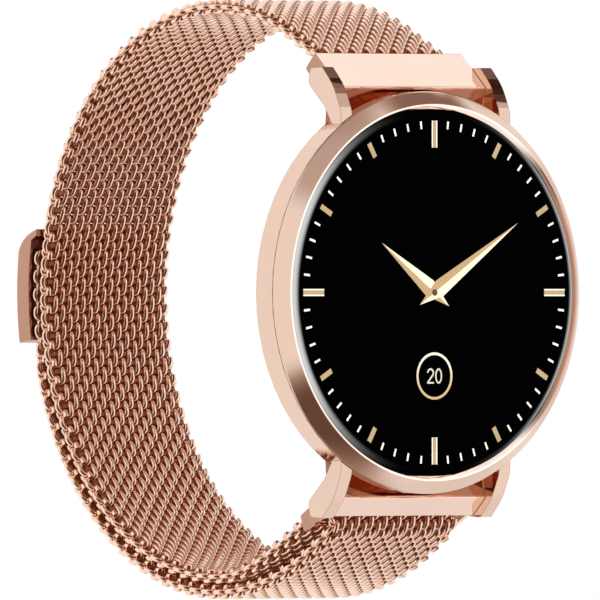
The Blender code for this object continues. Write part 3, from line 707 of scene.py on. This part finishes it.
def round_cap(middle, arm, count=6):
    return [middle + Matrix.Rotation(-math.pi * i / count, 2) @ arm for i in range(1, count)]


def numeral_two(left):
    """Points of a 2: a hook over the top, a slant and a foot."""
    radius = DIGIT_WIDTH / 2 - DIGIT_STROKE / 2
    middle = left + DIGIT_WIDTH / 2
    top = DIGIT_HEIGHT / 2 - DIGIT_STROKE / 2 - radius
    points = []
    for i in range(HOOK_STEPS + 1):
        a = math.radians(HOOK_START - HOOK_SWEEP * i / HOOK_STEPS)
        points.append((middle + radius * math.cos(a), top + radius * math.sin(a)))
    foot = -DIGIT_HEIGHT / 2 + DIGIT_STROKE / 2
    slant_end = (left + DIGIT_STROKE * 0.62, foot + DIGIT_STROKE * 0.35)
    foot_line = [(left + DIGIT_STROKE / 2, foot), (left + DIGIT_WIDTH - DIGIT_STROKE / 2, foot)]
    return points + [slant_end], foot_line


def build_date():
    back = GRAPHIC_BACK
    ring = ring_mesh("date_ring", *DATE_RING, DATE_CENTRE, back - LAYER_STEP, back)
    add_piece("date_ring", ring, RING_TONE, "case")
    hook, foot = numeral_two(DIGIT_LEFTS[0])
    outlines = [stroke(hook, DIGIT_STROKE, DATE_CENTRE), stroke(foot, DIGIT_STROKE, DATE_CENTRE)]
    middle = DIGIT_LEFTS[1] + DIGIT_WIDTH / 2
    reach = DIGIT_HEIGHT / 2 - DIGIT_STROKE / 2
    wide = DIGIT_WIDTH / 2 - DIGIT_STROKE / 2
    for start in (-90, 90):
        half_loop = []
        for i in range(LOOP_STEPS + 1):
            a = math.radians(start + 180 * i / LOOP_STEPS)
            half_loop.append((middle + wide * math.cos(a), reach * math.sin(a)))
        outlines.append(stroke(half_loop, DIGIT_STROKE, DATE_CENTRE))
    graphic("date_numerals", outlines, DIGIT_TONE, layer=2)


# Hands: angle clockwise from 12, tip and tail radius (mm), the two halves' finishes, layer.
HANDS = (
    ("hour_hand", 305.6, 8.85, 2.45, TAN, CREAM, 2),
    ("minute_hand", 57.6, 13.55, 2.40, TAN, CREAM, 4),
)
HAND_SHOULDER = 0.83       # where a hand is widest, in millimetres from the pivot
HAND_HALF_WIDTH = 0.94
HUB_RADIUS = 0.35 * MM
HUB_SIDES = 24


def build_hands():
    """Tapering hands split along their length into a light and a dark half."""
    for name, angle, tip, tail, left_finish, right_finish, layer in HANDS:
        for side, finish, word in ((-1, left_finish, "left"), (1, right_finish, "right")):
            half = [(0, -tail), (side * HAND_HALF_WIDTH, HAND_SHOULDER), (0, tip)]
            half = [(x * MM, z * MM) for x, z in half]
            graphic(f"{name}_{word}", [turned_clockwise(half, angle)], finish, layer)
    turns = [2 * math.pi * i / HUB_SIDES for i in range(HUB_SIDES)]
    hub = [(HUB_RADIUS * math.sin(a), HUB_RADIUS * math.cos(a)) for a in turns]
    graphic("hand_pivot", [hub], PIVOT_BROWN, 6)


# ---- woven strap ----
def joining_curve(start, end, pulls, count):
    """A cubic curve from start to end, drawn out by a pull at each."""
    t = np.linspace(0, 1, count + 1)[:, None]
    s = 1 - t
    p1 = start + pulls[0]
    p2 = end + pulls[1]
    return start * s**3 + 3 * p1 * s * s * t + 3 * p2 * s * t * t + end * t**3


def ellipse_line(start, end, offset=0.0, step=1.0):
    """Points along the strap's ellipse, or along a line outside it by offset."""
    count = max(2, math.ceil(abs(end - start) / step))
    return np.array([on_ellipse(a, offset) for a in np.linspace(start, end, count + 1)])


class StrapLine:
    """A path in the (y, z) plane that rows of wire are laid along."""

    def __init__(self, points):
        points = np.asarray(points)
        steps = np.linalg.norm(np.diff(points, axis=0), axis=1)
        keep = np.concatenate([[True], steps > 1e-7])
        self.points = points[keep]
        steps = np.linalg.norm(np.diff(self.points, axis=0), axis=1)
        self.reach = np.concatenate([[0], np.cumsum(steps)])
        along = np.gradient(self.points, self.reach, axis=0)
        along /= np.linalg.norm(along, axis=1)[:, None]
        self.normals = np.stack([-along[:, 1], along[:, 0]], 1)
        self.along = along

    def at(self, s):
        """Point and normal at distances s; past an end the path runs straight on."""
        inside = np.clip(s, 0, self.reach[-1])
        spot = np.stack([np.interp(inside, self.reach, self.points[:, i]) for i in (0, 1)], -1)
        normal = np.stack([np.interp(inside, self.reach, self.normals[:, i]) for i in (0, 1)], -1)
        along = np.stack([np.interp(inside, self.reach, self.along[:, i]) for i in (0, 1)], -1)
        return spot + along * (s - inside)[..., None], normal

    def nearest(self, spot):
        """Distance along the path of the point nearest to (y, z)."""
        gaps = np.linalg.norm(self.points - np.asarray(spot)[None, :], axis=1)
        return self.reach[int(np.argmin(gaps))]


def tube(centres, radius, sides, closed_ends=True):
    """Vertices and faces of a tube about points."""
    along = np.gradient(centres, axis=0)
    along /= np.linalg.norm(along, axis=1)[:, None]
    ref = np.array([1.0, 0.0, 0.0])
    if abs(along[:, 0]).min() > 0.99:
        ref = np.array([0.0, 0.6, 0.8])
    u = ref - (along @ ref)[:, None] * along
    u /= np.maximum(np.linalg.norm(u, axis=1), 1e-9)[:, None]
    w = np.cross(along, u)
    a = np.arange(sides) * 2 * math.pi / sides
    spokes = np.cos(a)[None, :, None] * u[:, None, :] + np.sin(a)[None, :, None] * w[:, None, :]
    rings = (centres[:, None, :] + radius * spokes).reshape(-1, 3)
    count = len(centres)
    i = np.arange(count - 1)[:, None] * sides
    j = np.arange(sides)[None, :]
    k = (j + 1) % sides
    faces = np.stack([i + j, i + k, i + k + sides, i + j + sides], -1).reshape(-1, 4).tolist()
    if closed_ends:
        faces.append(list(range(sides))[::-1])
        faces.append(list(range((count - 1) * sides, count * sides)))
    return rings, faces


def coil_row(line, place, number, squeeze):
    """One coil of wire across the strap at distance place along the line."""
    reach = math.pi * COIL_TURNS
    phi = np.linspace(-reach, reach, int(COIL_TURNS * COIL_STEPS) + 1)
    x = PITCH / (2 * math.pi) * (phi + COIL_LEAN / 2 * np.sin(2 * phi))
    turn = phi + math.pi * (number % 2)
    sizes = np.abs(np.cos(turn))**COIL_SQUARE + np.abs(np.sin(turn))**COIL_SQUARE
    corner = sizes**(1 / COIL_SQUARE)
    spot, normal = line.at(place + COIL_ALONG * np.cos(turn) / corner)
    spot = spot - normal * (COIL_THROUGH * squeeze * np.sin(turn) / corner)[:, None]
    return np.column_stack([x, spot])


def edge_bend(line, place, side):
    """The wire's rounded turn at the strap's edge, from one coil into the next."""
    a = np.linspace(-BEND_SWEEP, BEND_SWEEP, BEND_POINTS)
    x = side * (EDGE_X + EDGE_BULGE * np.cos(a))
    spot = line.at(place + ROW_PITCH / 2 * (1 + BEND_SPREAD * np.sin(a)))[0]
    return np.column_stack([x, spot])


def core_mesh(name, line, rows):
    """Straight wires across the strap that the coils hang on, one between each two coils."""
    vertices = []
    faces = []
    total = 0
    for number in rows:
        spot = line.at(np.full(2, row_place(line, number) + ROW_PITCH / 2))[0]
        centres = np.column_stack([np.array((-EDGE_X, EDGE_X)), spot])
        rings, quads = tube(centres, CORE_RADIUS, COIL_SIDES)
        vertices.append(rings)
        faces.extend([[index + total for index in face] for face in quads])
        total += len(rings)
    mesh = bpy.data.meshes.new(name)
    mesh.from_pydata(np.concatenate(vertices).tolist(), [], faces)
    mesh.update()
    return mesh


def weave_mesh(name, line, rows, squeeze_at):
    """Rows of coils, joined in pairs at the edges, as one mesh."""
    vertices = []
    faces = []
    total = 0
    for number in rows:
        place = row_place(line, number)
        squeeze = squeeze_at(place)
        tubes = [tube(coil_row(line, place, number, squeeze), WIRE_RADIUS, COIL_SIDES)]
        side = 1 if number % 2 == 0 else -1
        tubes.append(tube(edge_bend(line, place, side), WIRE_RADIUS, COIL_SIDES))
        for rings, quads in tubes:
            vertices.append(rings)
            faces.extend([[index + total for index in face] for face in quads])
            total += len(rings)
    mesh = bpy.data.meshes.new(name)
    mesh.from_pydata(np.concatenate(vertices).tolist(), [], faces)
    mesh.update()
    return mesh


def weave_piece(name, line, rows, body, nodes, blend_to=None, hinge=None, place=None,
                squeeze_at=None):
    """A length of weave; with blend_to it rides no body and its transform is baked into its mesh."""
    if hinge and place is None:
        spot = joint_spot(hinge)
        place = line.nearest((spot.y, spot.z))
    coils = weave_mesh(name, line, rows, squeeze_at or (lambda place: 1.0))
    core = core_mesh(name.replace("weave", "core"), line, rows)
    for mesh, finish in ((coils, WIRE_FINISH), (core, CORE_PAINTED_SHADE)):
        piece = add_piece(mesh.name, mesh, finish, None if blend_to else body, 80)
        if blend_to:
            ends = [line.at(np.array([place + reach]))[0][0] for reach in (-BLEND_REACH, BLEND_REACH)]
            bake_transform(piece)
        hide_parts(*nodes)


def row_place(line, number):
    """Rows 0, 1, 2... run on from a line's start; -1, -2... run back from its end."""
    place = (number + 0.5) * ROW_PITCH
    return place if number >= 0 else line.reach[-1] + place


def rows_between(low, high):
    """The rows whose places lie from low to high, counted from the line's start."""
    return range(math.ceil(low / ROW_PITCH - 0.5), math.ceil(high / ROW_PITCH - 0.5))


def rows_back_between(line, low, high):
    """The same, counted back from the line's end."""
    length = line.reach[-1]
    return range(math.ceil((low - length) / ROW_PITCH - 0.5),
                 min(math.ceil((high - length) / ROW_PITCH - 0.5), 0))


def middle_of(line, first, second):
    """Distance along the line half way between two hinges."""
    places = []
    for name in (first, second):
        spot = joint_spot(name)
        places.append(line.nearest((spot.y, spot.z)))
    return sum(places) / 2


def build_upper_strap():
    """From the break under the clasp, over the top of the loop, to the top link."""
    pivot = joint_spot("top_link_pivot")
    plate = np.array((math.cos(LINK_ANGLE), math.sin(LINK_ANGLE)))
    start = np.array((pivot.y, pivot.z)) + TOP_STRAP_START * plate
    end = on_ellipse(UPPER_LEAD_ANGLE)
    lead = joining_curve(start, end, TOP_PULLS, 12)
    points = np.concatenate([lead, ellipse_line(UPPER_LEAD_ANGLE, BREAK_ANGLE)[1:]])
    line = StrapLine(points)
    flex = ["strap_flex_1", "strap_flex_2", "strap_flex_3"]
    cuts = [STRAP_END_GAP, middle_of(line, flex[0], flex[1]), middle_of(line, flex[1], flex[2]),
            line.reach[-1]]
    bodies = ["top_link", "strap_2", "strap_3", "strap_4"]
    nodes = [("strap_upper_1", "strap_upper_2"), ("strap_upper_3",), ("strap_upper_4",)]
    for i in range(3):
        rows = rows_back_between(line, cuts[i], cuts[i + 1])
        weave_piece(f"weave_upper_{i + 1}", line, rows, bodies[i], nodes[i], bodies[i + 1], flex[i])


def build_lower_strap():
    """From the break down to the bracket, round its bar, and back as the tail to the clasp."""
    pivot = joint_spot("bottom_link_pivot")
    bar_spot = np.array((pivot.y, pivot.z)) + np.array(FOLD_BAR)

    def round_bar(angle):
        t = math.radians(angle)
        return bar_spot + FOLD_RADIUS * np.array((math.cos(t), math.sin(t)))

    start = on_ellipse(-LOWER_LEAD_ANGLE)
    lead = joining_curve(start, round_bar(FOLD_START), FOLD_PULLS, 20)
    turn = np.array([round_bar(FOLD_START + a) for a in range(0, 181, FOLD_STEP)])
    run = joining_curve(turn[-1], on_ellipse(TAIL_START, LAYER_OFFSET), TAIL_PULLS, 12)
    thinning = np.full(CRIMP_STEPS + 1, CRIMPED_OFFSET)
    thinning[:CRIMP_FADE_STEPS] = np.linspace(LAYER_OFFSET, CRIMPED_OFFSET, CRIMP_FADE_STEPS)
    angles = np.linspace(CRIMP_START, TAIL_END, CRIMP_STEPS + 1)
    crimped = np.array([on_ellipse(a, offset) for a, offset in zip(angles, thinning)])
    points = np.concatenate([
        ellipse_line(BREAK_ANGLE, -LOWER_LEAD_ANGLE), lead[1:], turn[1:], run[1:],
        ellipse_line(TAIL_START, CRIMP_START, LAYER_OFFSET)[1:], crimped[1:],
    ])
    line = StrapLine(points)

    # Both layers pass near the same places, so distances on the tail are sought past the fold.
    def tail_place(spot):
        gaps = np.linalg.norm(line.points - np.array((spot.y, spot.z))[None, :], axis=1)
        gaps[line.reach < line.nearest(turn[len(turn) // 2])] = 1.0
        return line.reach[int(np.argmin(gaps))]

    hinges = ["tail_flex_1", "tail_flex_2", "tail_flex_3", "clasp_lift"]
    places = [tail_place(joint_spot(name)) for name in hinges]
    flatten_place = tail_place(Vector((0, *on_ellipse(FLATTEN_ANGLE, LAYER_OFFSET))))

    def squeeze_at(place):
        t = min(max((place - flatten_place) / FLATTEN_LENGTH, 0.0), 1.0)
        return 1.0 - (1.0 - FLATTENED) * t

    cuts = [0.0, line.nearest(start), places[0] - FIRST_TAIL_REACH]
    cuts += [(places[i] + places[i + 1]) / 2 for i in range(3)]
    cuts.append(line.reach[-1] - TAIL_END_GAP)
    weave_piece("weave_lower", line, rows_between(cuts[0], cuts[1]), "lower_loop", ("strap_lower",))
    weave_piece("weave_fold", line, rows_between(cuts[1], cuts[2]), "lower_loop", ("strap_fold",))
    bodies = ["lower_loop", "tail_1", "tail_2", "tail_3", "clasp"]
    nodes = [("strap_tail_1",), ("strap_tail_2",), ("strap_tail_3",), ("strap_tail_end",)]
    for i in range(4):
        weave_piece(f"weave_tail_{i + 1}", line, rows_between(cuts[i + 2], cuts[i + 3]),
                    bodies[i], nodes[i], bodies[i + 1], hinges[i], places[i], squeeze_at)


# ---- stage ----
VIEW_AZIMUTH = math.radians(-40.3)     # from -Y towards +X
VIEW_DISTANCE = 2.8
FIELD = 62.53 * MM         # width of the picture at the dial
DIAL_RIGHT = 14.05 * MM    # the dial's centre right of and above the picture's
DIAL_UP = 0.78 * MM


def build_camera():
    a = VIEW_AZIMUTH
    back = Vector((math.sin(a), -math.cos(a), 0))
    right = Vector((math.cos(a), math.sin(a), 0))
    aim = Vector((0, FRONT_Y, 0)) - right * DIAL_RIGHT - Vector((0, 0, DIAL_UP))
    data = bpy.data.cameras.new("camera")
    data.sensor_width = 36
    data.lens = 36 * VIEW_DISTANCE / FIELD
    data.clip_start = 0.1
    data.clip_end = 50
    camera = bpy.data.objects.new("camera", data)
    camera.location = aim + back * VIEW_DISTANCE
    camera.rotation_euler = (math.pi / 2, 0, a)
    bpy.context.scene.collection.objects.link(camera)
    bpy.context.scene.camera = camera


def direction(azimuth, elevation):
    a = math.radians(azimuth)
    e = math.radians(elevation)
    return (math.sin(a) * math.cos(e), -math.cos(a) * math.cos(e), math.sin(e))


# Soft panels and dark flags round the studio: azimuth, elevation, inner and outer radius
# in degrees, brightness.
STUDIO = (
    (-12, -51, 14, 34, 0.15),
    (-12, 55, 14, 30, 0.60),
    (70, 48, 10, 22, 0.28),
    (118, 42, 10, 22, 0.15),
    (95, 50, 5, 10, 1.12),
    (101, -49, 14, 30, 0.90),
    (0, 90, 18, 36, 0.42),
    (0, -90, 18, 36, 0.42),
    (-40, 0, 16, 34, 1.0),
)
STUDIO_LEVEL = 1.0
SHADE_TINT = (1.0, 0.56, 0.41)         # dark flags are warm, like the metal they face


def build_world():
    """Even white to the camera; to everything else, panels and flags that shape reflections."""
    world = bpy.data.worlds.new("studio")
    world.use_nodes = True
    bpy.context.scene.world = world
    nodes = world.node_tree.nodes
    links = world.node_tree.links
    background = nodes["Background"]
    coords = nodes.new("ShaderNodeTexCoord")
    level = None
    for azimuth, elevation, inner, outer, brightness in STUDIO:
        dot = nodes.new("ShaderNodeVectorMath")
        dot.operation = "DOT_PRODUCT"
        dot.inputs[1].default_value = direction(azimuth, elevation)
        links.new(coords.outputs["Generated"], dot.inputs[0])
        near = nodes.new("ShaderNodeMapRange")
        near.interpolation_type = "SMOOTHSTEP"
        near.inputs["From Min"].default_value = math.cos(math.radians(outer))
        near.inputs["From Max"].default_value = math.cos(math.radians(inner))
        links.new(dot.outputs["Value"], near.inputs["Value"])
        mix = nodes.new("ShaderNodeMix")
        mix.data_type = "FLOAT"
        links.new(near.outputs["Result"], mix.inputs["Factor"])
        if level is None:
            mix.inputs["A"].default_value = STUDIO_LEVEL
        else:
            links.new(level, mix.inputs["A"])
        mix.inputs["B"].default_value = brightness
        level = mix.outputs["Result"]
    path = nodes.new("ShaderNodeLightPath")
    seen = nodes.new("ShaderNodeMix")
    seen.data_type = "FLOAT"
    links.new(path.outputs["Is Camera Ray"], seen.inputs["Factor"])
    links.new(level, seen.inputs["A"])
    seen.inputs["B"].default_value = 1.0
    links.new(seen.outputs["Result"], background.inputs["Strength"])
    warmth = nodes.new("ShaderNodeMapRange")
    warmth.inputs["From Min"].default_value = 0.1
    warmth.inputs["From Max"].default_value = 0.8
    links.new(seen.outputs["Result"], warmth.inputs["Value"])
    tint = blend_colours(nodes, links, warmth.outputs["Result"], SHADE_TINT, (1, 1, 1))
    links.new(tint, background.inputs["Color"])


FLOOR_DROP = 2.8 * MM      # room under the closed loop for the opened tail


def build_floor():
    """A pale round floor that melts into the white background when seen edge-on."""
    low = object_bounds()[0][2] - FLOOR_DROP
    bm = bmesh.new()
    bmesh.ops.create_circle(bm, cap_ends=True, segments=96, radius=0.30)
    bmesh.ops.translate(bm, verts=bm.verts, vec=(0, (cad_box[0][1] + cad_box[1][1]) / 2, low))
    mesh = bpy.data.meshes.new("floor")
    bm.to_mesh(mesh)
    bm.free()
    mat, nodes, links = new_material("floor_pale")
    shader = nodes["Principled BSDF"]
    grain = texture_noise(nodes, links, 60, 2.0)
    tone = span(nodes, links, grain.outputs["Fac"], 0.0, 1.0)
    colour = blend_colours(nodes, links, tone, (0.93, 0.93, 0.93), (0.96, 0.96, 0.96))
    links.new(colour, shader.inputs["Base Color"])
    shader.inputs["Roughness"].default_value = 0.9
    shader.inputs["Specular IOR Level"].default_value = 0.1
    glow = nodes.new("ShaderNodeEmission")
    mix = nodes.new("ShaderNodeMixShader")
    facing = nodes.new("ShaderNodeLayerWeight")
    facing.inputs["Blend"].default_value = 0.5
    edge = nodes.new("ShaderNodeMapRange")
    edge.inputs["From Min"].default_value = 0.75
    edge.inputs["From Max"].default_value = 0.97
    links.new(facing.outputs["Facing"], edge.inputs["Value"])
    links.new(edge.outputs["Result"], mix.inputs["Fac"])
    links.new(shader.outputs["BSDF"], mix.inputs[1])
    links.new(glow.outputs["Emission"], mix.inputs[2])
    links.new(mix.outputs["Shader"], nodes["Material Output"].inputs["Surface"])
    mesh.materials.append(mat)
    floor = bpy.data.objects.new("floor", mesh)
    floor.visible_glossy = False
    bpy.context.scene.collection.objects.link(floor)


build_bezel()
build_glass()
build_marks()
build_date()
build_hands()
build_upper_strap()
build_lower_strap()
build_camera()
build_world()
build_floor()
bpy.context.scene.view_settings.view_transform = "Standard"
